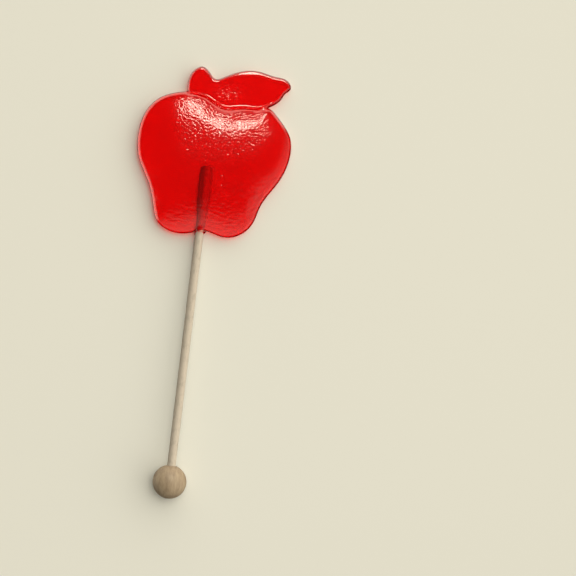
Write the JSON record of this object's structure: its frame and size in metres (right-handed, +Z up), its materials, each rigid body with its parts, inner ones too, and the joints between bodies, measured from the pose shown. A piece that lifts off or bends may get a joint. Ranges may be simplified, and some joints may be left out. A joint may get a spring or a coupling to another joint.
{
  "type": "lollipop",
  "caption": "Flat-backed boiled-sugar lollipop moulded as an apple with a leaf and stalk, on a paper stick that ends in a wooden ball.",
  "frame": {"origin": "bottom centre of the whole lollipop, on the surface it lies on", "axes": "+Y along the stick from the wooden ball to the candy head, +Z up out of the moulded face, +X to the leaf's side"},
  "size_m": [0.0578, 0.1632, 0.0126],
  "materials": {
    "candy": "translucent red boiled sugar, glossy, finely dimpled by its mould",
    "paper": "tightly rolled cream paper, matt",
    "wood": "turned pale hardwood, sanded, unvarnished"
  },
  "bodies": {
    "root": {"candy_head": "candy", "paper_stick": "paper", "wooden_ball": "wood"}
  },
  "joints": []
}
